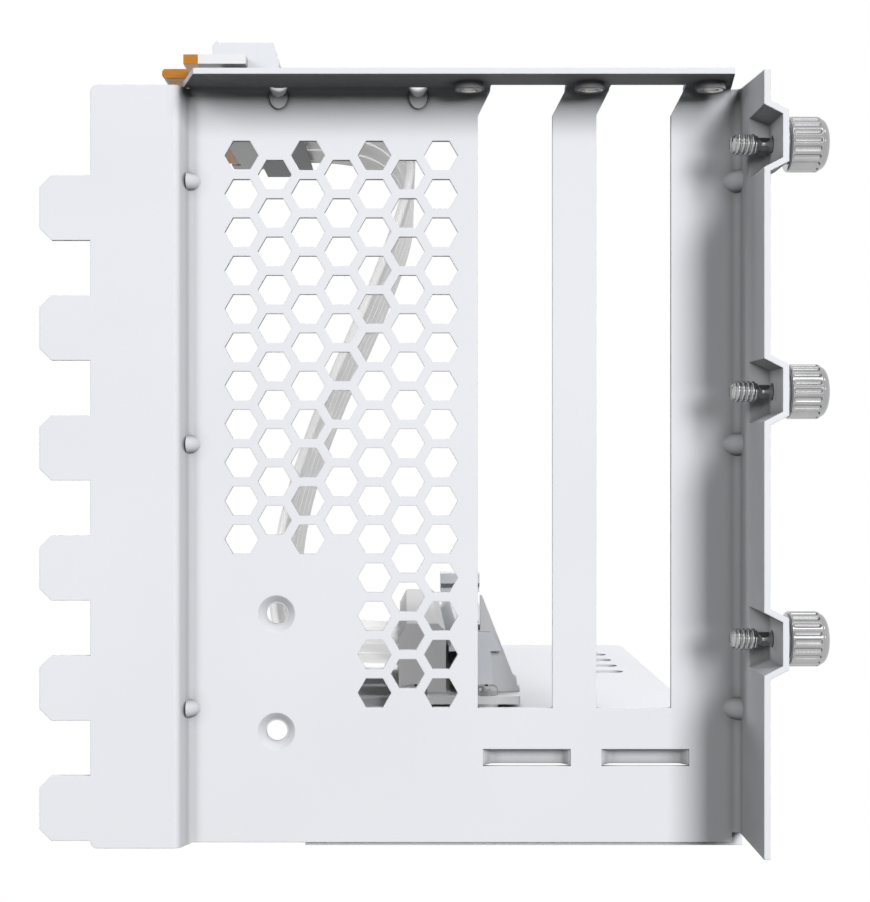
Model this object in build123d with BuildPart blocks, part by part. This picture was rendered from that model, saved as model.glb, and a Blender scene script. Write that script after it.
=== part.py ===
from build123d import *
import math
import os

# Vertical mount for a graphics card, in millimetres. +X is to the right and +Y is back into the case,
# seen from outside the case, and +Z is up. The origin is the middle of the comb's outer face.

# Folded steel sheet of the bracket and the shelf
sheet = 1.0
wide_bend = 1.3             # face radius of the bends, more than the sheet
slot_pitch = 20.32          # pitch of a case's expansion slots

# Comb of slot tongues
comb_width = 14.8
comb_height = 129.2
comb_corner = 1.2
tab_height = 11.0
tab_reach = 8.6
tab_corner = 2.0
tab_top_drop = 20.8         # comb's top to the middle of the first tab

# Panel, set back from the comb by a jog
jog_back = 3.6
jog_run = 1.6
panel_width = 94.2
panel_bottom_step = 0.2     # comb's bottom to the panel's bottom

# Hexagonal vent
hex_flats = 5.0
hex_web = 1.58
hex_left = 8.8              # panel's left edge to the first column
hex_top_drop = 11.3         # comb's top to the top row
hex_short_low = 51.0        # panel's bottom to the short columns, at least
hex_long_low = 25.0         # panel's bottom to the long columns, at least
hex_long_columns = 3        # of the columns beside the card slots
hex_slot_gap = 3.2          # vent to the first card slot, at least

# Card slots, open at the top
card_slot_count = 2
card_slot_width = 12.8
card_slot_right = 18.18     # last slot's middle to the wall
card_slot_low = 23.0        # panel's bottom to the slots' lower end
card_slot_shift = 2.1       # sideways step of the slots near the top
card_slot_shift_drop = 5.4  # flange's top to the start of the step
card_slot_shift_height = 4.1
card_slot_into_flange = 3.4

# Lances for the card's foot tongues
lance_width = 15.0
lance_height = 2.9
lance_depth = 2.0
lance_ramp = 1.5
lance_slit = 0.15
lance_shift = 2.0           # slots' middle to the lances' middle
lance_drop = 8.5            # slots' lower end to the lances' middle

# Dimpled holes beside the shelf
dimple_radius = 3.2
dimple_hole_radius = 1.8
dimple_depth = 1.0
dimple_pitch = 20.1
dimple_left = 14.8          # panel's left edge to the holes
dimple_low = 19.0           # panel's bottom to the lower hole

# Darts pressed into the bends
wall_dart_width = 4.0
wall_dart_reach = 2.9
jog_dart_width = 3.4
jog_dart_reach = 1.8
top_dart_width = 3.2
top_dart_reach = 2.9
dart_drops = [15.8, 60.8, 106.0]   # comb's top to the darts of the upright bends
dart_lefts = [15.2, 39.1]          # panel's left edge to the darts of the top bend

# Top flange
flange_rise = 1.0           # comb's top to the flange's top
flange_depth = 11.5
flange_over_jog = 1.0
flange_left_slant = 3.0
flange_right_gap = 1.7
flange_right_slant = 1.4
collar_radius = 2.5
collar_height = 1.2
card_screw_radius = 1.4
card_screw_back = 4.7       # panel's face to the tapped holes

# Right wall with its screw pockets
wall_depth = 19.1
wall_top_drop = 1.1         # from the wall's root to its front edge
wall_low_step = 1.9
pocket_count = 3
pocket_depth = 3.0
pocket_floor = 7.0
pocket_mouth = 10.1
pocket_back = 7.8           # panel's face to the pocket's back end
pocket_top_drop = 11.6      # comb's top to the first screw
screw_back = 11.2           # panel's face to the screw's axis

# Captive thumbscrews
screw_clearance = 0.3
neck_radius = 1.15
neck_end_gap = 2.5          # pocket's floor to the thread
thread_radius = 1.75
thread_depth = 0.3
thread_pitch = 0.79
thread_length = 4.0
point_length = 0.4
head_radius = 4.5
head_length = 5.3
head_rim = 0.4
head_dome = 1.3
head_dome_in = 2.4          # head's radius to the flat end's radius
shoulder_radius = 3.3
shoulder_length = 1.0
flute_count = 20
flute_radius = 0.5
flute_depth = 0.32
recess_width = 1.1
recess_length = 4.6
recess_depth = 1.2
recess_taper = 15

# Shelf behind the panel
shelf_rise = 15.2           # panel's bottom to the shelf's top
shelf_lip_drop = 0.7
shelf_tail = 4.0            # board's far edge to the shelf's far end
shelf_left = 19.7           # panel's left edge to the shelf's left edge
shelf_right_over = 0.6      # past the wall's inner face
shelf_corner = 4.0
tongue_gap = 1.0            # notch in the shelf round each lance
louvre_count = 4
louvre_length = 14.0
louvre_width = 4.6
louvre_pitch = 11.0
louvre_from_end = 54.2      # shelf's far end to the first louvre
louvre_from_right = 13.5    # shelf's right edge to the louvres' middle

# Riser board on its spacers
board_thickness = 1.6
board_lift = 1.3
board_width = 25.9
board_tail = 13.0           # housing's far end to the board's far edge
board_start = 46.0          # panel's back to the board's front edge
board_corner = 1.2
slot_from_board_left = 17.0
slot_offset = 4.7           # riser slot's middle to the first card slot's middle
board_screw_inset = 2.5
board_screw_left = 5.0
board_screw_right = 19.2
shank_radius = 1.2
shank_clearance = 0.2
spacer_radius = 2.4
pan_head_radius = 2.35
pan_head_height = 1.9
pan_edge_height = 1.05
pan_bevel_height = 1.55
pan_bevel_in = 0.2
pan_top_in = 0.65
pan_recess_length = 2.8
pan_recess_width = 0.6
pan_recess_depth = 0.95

# Slot for the card's edge
housing_half = 3.7
housing_waist_in = 0.5
housing_flare = 5.3
housing_top_half = 3.3
housing_height = 12.3
housing_flare_drop = 3.2
housing_flare_edge = 0.7
housing_length = 92.0
housing_inset = 5.0         # board's front edge to the housing's front end
cavity_width = 3.2
cavity_depth = 9.0
cavity_end = 1.5
contact_pitch = 1.0
contact_thickness = 0.5
contact_width = 0.55
contact_height = 7.5
contacts_before_key = 11
key_width = 1.9

# Latch at the housing's far end
latch_width = 10.0
latch_neck = 4.6
latch_head_height = 5.0
latch_head_depth = 6.2
latch_nose = 2.6
latch_gap = 0.3
latch_head_gap = 0.5
latch_pivot_radius = 0.8
latch_pivot_clearance = 0.08
latch_pivot_rise = 3.3
latch_pivot_back = 3.6
latch_heel_radius = 2.2
ear_height = 8.3
ear_depth = 6.4

# Support with its gusset at the slot's front end
support_sheet = 1.0
support_inset = 1.5         # housing's front end to the gusset
support_slit_gap = 0.05
gusset_height = 19.7
gusset_foot = 9.2           # slot's middle to the gusset's lower corner
gusset_top = 1.1            # slot's middle to the gusset's tip
gusset_tip_width = 0.4
gusset_sink = 0.2
support_foot_length = 9.0
support_foot_gap = 0.4

# Ribbon cable between the two moulded blocks
ribbon_count = 5
ribbon_width = 15.4
ribbon_gap = 2.0
ribbon_thickness = 1.6
ribbon_drift = 43.0
ribbon_drift_top = 58.0
ribbon_drift_low = -36.0
ribbon_top_bend = 39.5      # across, where it leaves the plug's level
ribbon_low_bend = 24.5      # across, where it reaches the slot block's level
ribbon_route = [(48.5, 58), (43.5, 40.5), (24.5, 1), (17.5, -30)]

# Moulded block on the riser board
slot_block_width = 9.6
slot_block_height = 14.0
slot_block_gap = 0.6        # block to the housing's flare
slot_block_margin = 0.6
slot_block_slope = 1.6
slot_ribbon_rise = 5.1      # board's top to the ribbon's middle

# Plug board above the flange
plug_lift = 3.3             # flange's top to the plug board
plug_thickness = 1.6
plug_front = -0.5           # panel's face to the plug's front tab
plug_tab_left = -1.1        # panel's left edge to the tab's left end
plug_tab_length = 10.5
plug_finger_reach = 5.2     # tab's left end to the fingers' tips
plug_key_from_front = 11.65
plug_long_fingers = 71.65
plug_notch = 2.4
plug_hook_length = 5.0
plug_hook_reach = 2.1
plug_tail = 7.4
plug_finger_gap = 0.3
plug_finger_length = 4.0
plug_finger_thickness = 0.05

# Moulded block on the plug board
plug_block_left = 5.0       # panel's left edge to the block
plug_block_width = 9.0
plug_block_slope = 2.0
plug_block_over = 2.9
plug_block_under = 2.4
plug_block_inset = 3.6      # tab's front edge to the block's front face
plug_block_margin = 4.0
plug_rib_width = 1.5
plug_rib_rise = 3.3
board_in_block = 4.6

# Places worked out from the sizes
comb_top = comb_height / 2
comb_bottom = -comb_height / 2
panel_left = comb_width / 2 + jog_run
panel_face = jog_back
panel_back = panel_face + sheet
panel_bottom = comb_bottom + panel_bottom_step
wall_face = panel_left + panel_width
wall_front = panel_face - wall_depth
flange_top = comb_top + flange_rise
flange_under = flange_top - sheet
panel_top = flange_under - wide_bend
card_slots = [wall_face - card_slot_right - slot_pitch * n for n in reversed(range(card_slot_count))]
card_slot_bottom = panel_bottom + card_slot_low
tab_heights = [
    comb_top - tab_top_drop - slot_pitch * n
    for n in range(int((comb_height - tab_top_drop - tab_height / 2) / slot_pitch) + 1)
]
hex_pitch = hex_flats + hex_web
hex_column_pitch = hex_pitch * math.sqrt(3) / 2
hex_corner = hex_flats / math.sqrt(3)
vent_left = panel_left + hex_left
vent_top = comb_top - hex_top_drop
vent_run = card_slots[0] - card_slot_width / 2 - hex_slot_gap - hex_corner - vent_left
hex_columns = int(vent_run / hex_column_pitch) + 1
hex_short_rows = int((vent_top - panel_bottom - hex_short_low) / hex_pitch) + 1
hex_long_rows = int((vent_top - panel_bottom - hex_long_low) / hex_pitch) + 1
lance_middle = card_slot_bottom - lance_drop
lances = [middle + lance_shift for middle in card_slots]
collars = [card_slots[0] + card_slot_shift + slot_pitch * (n - 0.5) for n in range(card_slot_count + 1)]
screw_y = panel_face - screw_back
screw_heights = [comb_top - pocket_top_drop - 2 * slot_pitch * n for n in range(pocket_count)]
pocket_floor_face = wall_face + pocket_depth
shelf_top = panel_bottom + shelf_rise
shelf_right = wall_face + shelf_right_over
board_bottom = shelf_top + board_lift
board_top = board_bottom + board_thickness
board_front = panel_back + board_start
slot_x = card_slots[0] - slot_offset
board_left = slot_x - slot_from_board_left
board_right = board_left + board_width
housing_front = board_front + housing_inset
housing_back = housing_front + housing_length
board_back = housing_back + board_tail
shelf_end = board_back + shelf_tail
cavity_front = housing_front + cavity_end + support_inset + support_sheet
cavity_key = cavity_front + (contacts_before_key + 1) * contact_pitch
cavity_after_key = cavity_key + key_width
cavity_back = housing_back - cavity_end
contacts_after_key = int((cavity_back - cavity_after_key) / contact_pitch) - 1
plug_fingers_after_key = int(plug_long_fingers / contact_pitch)
housing_top = board_top + housing_height
board_screw_places = [
    (board_left + across, along)
    for across in (board_screw_left, board_screw_right)
    for along in (board_front + board_screw_inset, board_back - board_screw_inset)
]
gusset_front = housing_front + support_inset
support_screw_place = (
    (slot_x + housing_half + support_foot_gap + slot_x + gusset_foot) / 2,
    gusset_front + support_sheet + support_foot_length / 2,
)
latch_pivot = (housing_back + latch_pivot_back, board_top + latch_pivot_rise)
ribbon_span = ribbon_count * ribbon_width + (ribbon_count - 1) * ribbon_gap
plug_bottom = flange_top + plug_lift
plug_middle = plug_bottom + plug_thickness / 2
plug_y = panel_face + plug_front
plug_tab_x = panel_left + plug_tab_left
finger_tip = plug_tab_x - plug_finger_reach
finger_front = plug_y + plug_tab_length
finger_back = finger_front + plug_key_from_front + key_width + plug_long_fingers
plug_block_x = panel_left + plug_block_left
plug_block_right = plug_block_x + plug_block_width
plug_block_front = plug_y + plug_block_inset
plug_block_back = finger_front + ribbon_span + plug_block_margin
plug_board_right = plug_block_x + board_in_block
slot_block_right = slot_x - housing_flare - slot_block_gap
slot_block_left = slot_block_right - slot_block_width
slot_block_front = finger_front + ribbon_drift - slot_block_margin

corner_aligned = (Align.MIN, Align.MIN, Align.MIN)


def block(low, high, mode=Mode.ADD):
    """A box between two corners."""
    sides = [high[i] - low[i] for i in range(3)]
    with Locations(low):
        Box(*sides, align=corner_aligned, mode=mode)


def bent_sheet(points, side, thickness=sheet):
    """The edge-on outline of a bent sheet, whose one face follows the points."""
    with BuildSketch() as outline:
        with BuildLine():
            FilletPolyline(*points, radius=wide_bend)
            offset(amount=thickness, side=side)
        make_face()
    return outline.sketch


def make_dart(width, reach):
    """A round bead across a square inside corner, with the corner along Z and its faces along +X and +Y."""
    radius = width / 2
    out = (reach / math.sqrt(2) - radius) / math.sqrt(2)
    side = reach + sheet
    with BuildPart() as dart:
        block((-sheet / 2, -sheet / 2, -radius), (side, side, radius))
        with Locations(Plane(origin=(out, out, 0), z_dir=(1, -1, 0))):
            Cylinder(radius, 3 * side, mode=Mode.INTERSECT)
    return dart.part


def make_main_bracket():
    """The one folded sheet: comb, jog, panel, top flange and right wall."""
    wall_dart = make_dart(wall_dart_width, wall_dart_reach)
    jog_dart = make_dart(jog_dart_width, jog_dart_reach)
    top_dart = make_dart(top_dart_width, top_dart_reach)
    pocket_taper = math.degrees(math.atan2((pocket_mouth - pocket_floor) / 2, pocket_depth))
    pocket_wall = sheet * (1 - math.sin(math.radians(pocket_taper))) / math.cos(math.radians(pocket_taper))
    with BuildPart() as bracket:
        # comb, jog, panel and wall are one band seen from above
        with BuildSketch(Plane.XY.offset(comb_bottom)):
            add(
                bent_sheet(
                    [
                        (-comb_width / 2, 0),
                        (comb_width / 2, 0),
                        (panel_left, panel_face),
                        (wall_face, panel_face),
                        (wall_face, wall_front),
                    ],
                    Side.LEFT,
                )
            )
        extrude(amount=comb_height)
        comb_ends = bracket.edges().filter_by(Axis.Y).group_by(Axis.X)[0]
        fillet(comb_ends, radius=comb_corner)
        far = wall_face + 2 * sheet
        block((panel_left, 0, comb_bottom), (far, panel_back, panel_bottom), Mode.SUBTRACT)
        flange_end = wall_face - flange_right_gap
        block((panel_left, 0, panel_top), (flange_end, panel_back + sheet, comb_top), Mode.SUBTRACT)
        wall_low = comb_bottom + wall_low_step
        block((wall_face - wide_bend, wall_front, comb_bottom), (far, panel_back, wall_low), Mode.SUBTRACT)

        # tongues of the comb
        with BuildSketch(Plane.XZ):
            with Locations(*[(-comb_width / 2, height) for height in tab_heights]):
                Rectangle(2 * tab_reach, tab_height)
            chamfer(vertices().group_by(Axis.X)[0], length=tab_corner)
        extrude(amount=-sheet)

        # top flange, bent towards the outside of the case, whose left end reaches over the jog
        flange_start = panel_left - flange_over_jog
        flange_front = panel_face - flange_depth
        bend_start = panel_face - wide_bend
        with BuildPart(mode=Mode.PRIVATE) as flange:
            with BuildSketch(Plane.YZ.offset(flange_start)):
                root = (panel_face, panel_top - wide_bend)
                corner = (panel_face, flange_under)
                add(bent_sheet([root, corner, (flange_front, flange_under)], Side.RIGHT))
            extrude(amount=flange_end - flange_start)
            block(
                (flange_start, bend_start, panel_top - wide_bend),
                (panel_left, panel_back, flange_top),
                Mode.SUBTRACT,
            )
            with BuildSketch(Plane.XY.offset(flange_under)):
                for end, inward in ((flange_start, flange_left_slant), (flange_end, -flange_right_slant)):
                    with BuildLine():
                        Polyline(
                            (end, bend_start),
                            (end, flange_front),
                            (end + inward, flange_front),
                            close=True,
                        )
                    make_face()
            extrude(amount=sheet, mode=Mode.SUBTRACT)
        add(flange.part)

        # tapped collars for the card's screws
        collar_y = panel_face - card_screw_back
        with Locations(*[(x, collar_y, flange_under) for x in collars]):
            Cylinder(collar_radius, collar_height, align=(Align.CENTER, Align.CENTER, Align.MAX))
        with Locations(*[(x, collar_y, flange_under) for x in collars]):
            Cylinder(card_screw_radius, 4 * sheet, mode=Mode.SUBTRACT)

        # card slots, which step sideways below the flange and run on into it
        with BuildSketch(Plane.XZ.offset(-(panel_face - card_slot_into_flange))):
            shift_start = flange_top - card_slot_shift_drop
            shift_end = shift_start + card_slot_shift_height
            half = card_slot_width / 2
            for middle in card_slots:
                with BuildLine():
                    Polyline(
                        (middle - half, card_slot_bottom),
                        (middle + half, card_slot_bottom),
                        (middle + half, shift_start),
                        (middle + half + card_slot_shift, shift_end),
                        (middle + half + card_slot_shift, flange_top + sheet),
                        (middle - half + card_slot_shift, flange_top + sheet),
                        (middle - half + card_slot_shift, shift_end),
                        (middle - half, shift_start),
                        close=True,
                    )
                make_face()
        extrude(amount=-(card_slot_into_flange + 2 * sheet), mode=Mode.SUBTRACT)

        # lances, each a strip pushed back between two slits
        lance_low = lance_middle - lance_height / 2
        for middle in lances:
            left, right = middle - lance_width / 2, middle + lance_width / 2
            block(
                (left, panel_face, lance_low),
                (right, panel_back, lance_low + lance_height),
                Mode.SUBTRACT,
            )
            with BuildSketch(Plane.XY.offset(lance_low + lance_slit)):
                deep = panel_face + lance_depth
                add(
                    bent_sheet(
                        [
                            (left - sheet, panel_face),
                            (left, panel_face),
                            (left + lance_ramp, deep),
                            (right - lance_ramp, deep),
                            (right, panel_face),
                            (right + sheet, panel_face),
                        ],
                        Side.LEFT,
                    )
                )
            extrude(amount=lance_height - 2 * lance_slit)

        # dimpled holes, pressed back
        dimple_x = panel_left + dimple_left
        dimple_z = panel_bottom + dimple_low
        dimple_places = [(dimple_x, panel_face, z) for z in (dimple_z, dimple_z + dimple_pitch)]
        for place in dimple_places:
            with Locations(Plane(origin=place, z_dir=(0, 1, 0))):
                Cone(
                    dimple_radius + sheet / 2,
                    dimple_hole_radius + sheet,
                    dimple_depth + sheet,
                    align=(Align.CENTER, Align.CENTER, Align.MIN),
                )
            with Locations(Plane(origin=place, z_dir=(0, 1, 0))):
                Cone(
                    dimple_radius,
                    dimple_hole_radius + sheet / 4,
                    dimple_depth,
                    align=(Align.CENTER, Align.CENTER, Align.MIN),
                    mode=Mode.SUBTRACT,
                )
                Cylinder(dimple_hole_radius, 6 * sheet, mode=Mode.SUBTRACT)

        # pockets, pressed out of the wall and open at its front edge
        for height in screw_heights:
            reach = pocket_depth * math.tan(math.radians(pocket_taper))
            pocket_length = wall_depth - pocket_back + 2 * reach
            pocket_middle = panel_face - pocket_back - pocket_length / 2
            with BuildSketch(Plane.YZ.offset(wall_face + sheet)):
                with Locations((pocket_middle, height)):
                    Rectangle(pocket_length + 2 * pocket_wall, pocket_mouth + 2 * pocket_wall)
            extrude(amount=pocket_depth, taper=pocket_taper)
            with BuildSketch(Plane.YZ.offset(wall_face)):
                with Locations((pocket_middle, height)):
                    Rectangle(pocket_length, pocket_mouth)
            extrude(amount=pocket_depth, taper=pocket_taper, mode=Mode.SUBTRACT)
            with Locations(Plane(origin=(pocket_floor_face, screw_y, height), z_dir=(1, 0, 0))):
                Cylinder(neck_radius + screw_clearance, 4 * sheet, mode=Mode.SUBTRACT)
        pocket_end = pocket_floor_face + 2 * sheet
        block(
            (wall_face - wide_bend, wall_front - 2 * pocket_depth, comb_bottom),
            (pocket_end, wall_front, comb_top),
            Mode.SUBTRACT,
        )

        # the wall's top slopes down towards its front edge
        past_front = wall_front - 2 * pocket_depth
        slope = wall_top_drop / (panel_face - wall_front)
        with BuildSketch(Plane.YZ.offset(wall_face - wide_bend)):
            with BuildLine():
                Polyline(
                    (panel_face, comb_top),
                    (past_front, comb_top),
                    (past_front, comb_top - slope * (panel_face - past_front)),
                    close=True,
                )
            make_face()
        extrude(amount=wide_bend + 2 * pocket_depth, mode=Mode.SUBTRACT)

        # darts, each with its hollow on the outer side of the bend
        hollow = -sheet
        dart_seats = []
        for drop in dart_drops:
            z = comb_top - drop
            right_corner = Plane(origin=(wall_face, panel_face, z), x_dir=(-1, 0, 0), z_dir=(0, 0, 1))
            left_corner = Plane(origin=(panel_left, panel_face, z), x_dir=(0, -1, 0), z_dir=(0, 0, 1))
            dart_seats += [(right_corner, wall_dart), (left_corner, jog_dart)]
        for place in dart_lefts:
            corner = (panel_left + place, panel_face, flange_under)
            dart_seats.append((Plane(origin=corner, x_dir=(0, 0, -1), z_dir=(1, 0, 0)), top_dart))
        for seat, dart in dart_seats:
            add(seat.from_local_coords(dart))
        for seat, dart in dart_seats:
            add(seat.from_local_coords(dart.moved(Location((hollow, hollow, 0)))), mode=Mode.SUBTRACT)

        # vent of staggered hexagons, whose even columns start half a pitch lower
        centres = []
        for column in range(hex_columns):
            rows = hex_long_rows if column >= hex_columns - hex_long_columns else hex_short_rows
            x = vent_left + hex_column_pitch * column
            top = vent_top - hex_pitch * (column % 2) / 2
            centres += [(x, top - hex_pitch * row) for row in range(rows - column % 2)]
        with BuildSketch(Plane.XZ.offset(-panel_face)):
            with Locations(*centres):
                RegularPolygon(hex_flats / 2, 6, major_radius=False)
        extrude(amount=-sheet, mode=Mode.SUBTRACT)
    return bracket.part


def make_thumbscrew(height):
    """A captive screw along X: fluted head, shoulder, thin neck and a short thread with a point."""
    axis = Axis((0, screw_y, height), (1, 0, 0))
    shoulder_start = pocket_floor_face + sheet + screw_clearance
    head_start = shoulder_start + shoulder_length
    head_end = head_start + head_length
    thread_end = pocket_floor_face - neck_end_gap
    thread_start = thread_end - thread_length
    root = thread_radius - thread_depth
    turns = int(thread_length / thread_pitch)
    with BuildPart() as screw:
        with BuildSketch(Plane(origin=(0, screw_y, height), x_dir=(1, 0, 0), z_dir=(0, 0, 1))):
            with BuildLine():
                profile = [(thread_start - point_length, 0), (thread_start - point_length, root / 2)]
                for turn in range(turns):
                    foot = thread_start + thread_pitch * turn
                    profile += [(foot, root), (foot + thread_pitch / 2, thread_radius)]
                profile += [
                    (thread_end, root),
                    (thread_end, neck_radius),
                    (shoulder_start, neck_radius),
                    (shoulder_start, shoulder_radius),
                    (head_start, shoulder_radius),
                    (head_start, head_radius - head_rim),
                    (head_start + head_rim, head_radius),
                    (head_end, head_radius),
                    (head_end + head_dome / 2, head_radius - head_dome_in / 4),
                    (head_end + head_dome, head_radius - head_dome_in),
                    (head_end + head_dome, 0),
                ]
                Polyline(*profile, close=True)
            make_face()
        revolve(axis=axis)
        # flutes round the head
        flute_out = head_radius - flute_depth + flute_radius
        face = Plane(origin=(head_start, screw_y, height), z_dir=(1, 0, 0))
        with BuildSketch(face):
            with PolarLocations(flute_out, flute_count):
                Circle(flute_radius)
        extrude(amount=head_length, mode=Mode.SUBTRACT)
        # cross recess in the end
        with BuildSketch(Plane(origin=(head_end + head_dome, screw_y, height), z_dir=(1, 0, 0))):
            with PolarLocations(0, 2, angular_range=180):
                Rectangle(recess_length, recess_width)
        extrude(amount=-recess_depth, taper=recess_taper, mode=Mode.SUBTRACT)
    return screw.part


def make_riser_shelf():
    """The shelf, whose front lip lies flat against the panel's back face."""
    left = panel_left + shelf_left
    with BuildPart() as shelf:
        with BuildSketch(Plane.YZ.offset(left)):
            lip_end = (panel_back + sheet, panel_bottom - shelf_lip_drop)
            fold = (panel_back + sheet, shelf_top - sheet)
            with BuildLine():
                FilletPolyline(lip_end, fold, (shelf_end, shelf_top - sheet), radius=sheet / 2)
                offset(amount=sheet, side=Side.LEFT)
            make_face()
        extrude(amount=shelf_right - left)
        far_corners = shelf.edges().filter_by(Axis.Z).group_by(Axis.Y)[-1]
        fillet(far_corners, radius=shelf_corner)
        # notches that clear the panel's lances
        for middle in lances:
            half = lance_width / 2 + tongue_gap
            low = lance_middle - lance_height / 2 - tongue_gap
            block(
                (middle - half, panel_face, low),
                (middle + half, panel_face + lance_depth + sheet + tongue_gap, shelf_top + sheet),
                Mode.SUBTRACT,
            )
        # vent slots near the right edge
        louvre_places = [
            (shelf_right - louvre_from_right, shelf_end - louvre_from_end + louvre_pitch * n)
            for n in range(louvre_count)
        ]
        with BuildSketch(Plane.XY.offset(shelf_top)):
            with Locations(*louvre_places):
                SlotOverall(louvre_length, louvre_width)
        extrude(amount=-sheet, mode=Mode.SUBTRACT)
        # tapped holes under the board's screws
        with Locations(*[(x, y, shelf_top) for x, y in board_screw_places]):
            Cylinder(shank_radius, 3 * sheet, mode=Mode.SUBTRACT)
    return shelf.part


def make_riser_board():
    """The circuit board under the slot."""
    with BuildPart() as board:
        block((board_left, board_front, board_bottom), (board_right, board_back, board_top))
        fillet(board.edges().filter_by(Axis.Z), radius=board_corner)
        with Locations(*[(x, y, board_top) for x, y in board_screw_places]):
            Cylinder(shank_radius + shank_clearance, 3 * board_thickness, mode=Mode.SUBTRACT)
        with Locations((*support_screw_place, board_top)):
            Cylinder(shank_radius, 3 * board_thickness, mode=Mode.SUBTRACT)
    return board.part


def make_board_spacers():
    """Washers between the shelf and the board."""
    with BuildPart() as spacers:
        with Locations(*[(x, y, shelf_top) for x, y in board_screw_places]):
            Cylinder(spacer_radius, board_lift, align=(Align.CENTER, Align.CENTER, Align.MIN))
        with Locations(*[(x, y, shelf_top) for x, y in board_screw_places]):
            Cylinder(shank_radius + shank_clearance, 3 * board_lift, mode=Mode.SUBTRACT)
    return spacers.part


def pan_screw(place, seat, length):
    """One pan-head screw with a cross recess, whose head sits at the seat height."""
    x, y = place
    top = seat + pan_head_height
    with BuildPart() as screw:
        with BuildSketch(Plane.XZ.offset(-y)):
            with BuildLine():
                Polyline(
                    (x, seat - length),
                    (x + shank_radius, seat - length),
                    (x + shank_radius, seat),
                    (x + pan_head_radius, seat),
                    (x + pan_head_radius, seat + pan_edge_height),
                    (x + pan_head_radius - pan_bevel_in, seat + pan_bevel_height),
                    (x + pan_head_radius - pan_top_in, top),
                    (x, top),
                    close=True,
                )
            make_face()
        revolve(axis=Axis((x, y, 0), (0, 0, 1)))
        with BuildSketch(Plane.XY.offset(top)):
            with Locations((x, y)):
                with PolarLocations(0, 2, angular_range=180):
                    Rectangle(pan_recess_length, pan_recess_width)
        extrude(amount=-pan_recess_depth, mode=Mode.SUBTRACT)
    return screw.part


def make_board_screws():
    """The screws through the board and its spacers into the shelf."""
    length = board_thickness + board_lift + sheet
    with BuildPart() as screws:
        for place in board_screw_places:
            add(pan_screw(place, board_top, length))
    return screws.part


def make_slot_housing():
    """The long card slot: flared head, cavity with its key rib, slit for the gusset, ears for the latch."""
    with BuildPart() as housing:
        with BuildSketch(Plane.XZ.offset(-housing_front)):
            flare_low = housing_top - housing_flare_drop - housing_flare_edge
            with BuildLine():
                Polyline(
                    (slot_x, board_top),
                    (slot_x + housing_half, board_top),
                    (slot_x + housing_half - housing_waist_in, flare_low),
                    (slot_x + housing_flare, flare_low),
                    (slot_x + housing_flare, flare_low + housing_flare_edge),
                    (slot_x + housing_top_half, housing_top),
                    (slot_x, housing_top),
                    close=True,
                )
            make_face()
            mirror(about=Plane.YZ.offset(slot_x))
        extrude(amount=-housing_length)
        cavity_low = housing_top - cavity_depth
        half = cavity_width / 2
        for start, end in ((cavity_front, cavity_key), (cavity_after_key, cavity_back)):
            block(
                (slot_x - half, start, cavity_low),
                (slot_x + half, end, housing_top + sheet),
                Mode.SUBTRACT,
            )
        slit_back = gusset_front + support_sheet + support_slit_gap
        block(
            (slot_x - housing_half, gusset_front - support_slit_gap, board_top),
            (slot_x + 2 * housing_flare, slit_back, housing_top + sheet),
            Mode.SUBTRACT,
        )
        # ears with the pivot holes of the latch
        neck_half = latch_neck / 2 + latch_gap
        for inner, outer in ((neck_half, latch_width / 2), (-latch_width / 2, -neck_half)):
            block(
                (slot_x + inner, housing_back - sheet, board_top),
                (slot_x + outer, housing_back + ear_depth, board_top + ear_height),
            )
        with Locations(Plane(origin=(slot_x, *latch_pivot), z_dir=(1, 0, 0))):
            Cylinder(latch_pivot_radius + latch_pivot_clearance, 2 * latch_width, mode=Mode.SUBTRACT)
    return housing.part


def contact_row(side):
    """One row of spring contacts against a wall of the cavity. Side is -1 or 1."""
    wall_x = slot_x + side * (cavity_width / 2 - contact_thickness / 2)
    middle = housing_top - cavity_depth + contact_height / 2
    rows = ((cavity_front, contacts_before_key), (cavity_after_key, contacts_after_key))
    places = [(wall_x, start + contact_pitch * (n + 1), middle) for start, count in rows for n in range(count)]
    with BuildPart() as row:
        with Locations(*places):
            Box(contact_thickness, contact_width, contact_height)
    return row.part


def make_slot_latch():
    """The lever that holds the card: wide head with a nose, neck between the ears and stub pivots."""
    pivot_y, pivot_z = latch_pivot
    head_low = housing_top + latch_head_gap
    head_top = head_low + latch_head_height
    head_front = housing_back + latch_gap
    with BuildPart() as latch:
        with Locations(Plane(origin=(slot_x, *latch_pivot), z_dir=(1, 0, 0))):
            Cylinder(latch_heel_radius, latch_neck)
            Cylinder(latch_pivot_radius, latch_width)
        block(
            (slot_x - latch_neck / 2, pivot_y - latch_heel_radius, pivot_z),
            (slot_x + latch_neck / 2, pivot_y + latch_heel_radius, head_low + sheet),
        )
        with BuildSketch(Plane.YZ.offset(slot_x - latch_width / 2)):
            with BuildLine():
                Polyline(
                    (head_front, head_low),
                    (head_front + latch_head_depth, head_low),
                    (head_front + latch_head_depth, head_top - latch_nose / 2),
                    (head_front + latch_head_depth - latch_nose / 2, head_top),
                    (head_front - latch_nose, head_top),
                    (head_front - latch_nose, head_top - latch_nose),
                    (head_front, head_top - 1.5 * latch_nose),
                    close=True,
                )
            make_face()
        extrude(amount=latch_width)
    return latch.part


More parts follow.
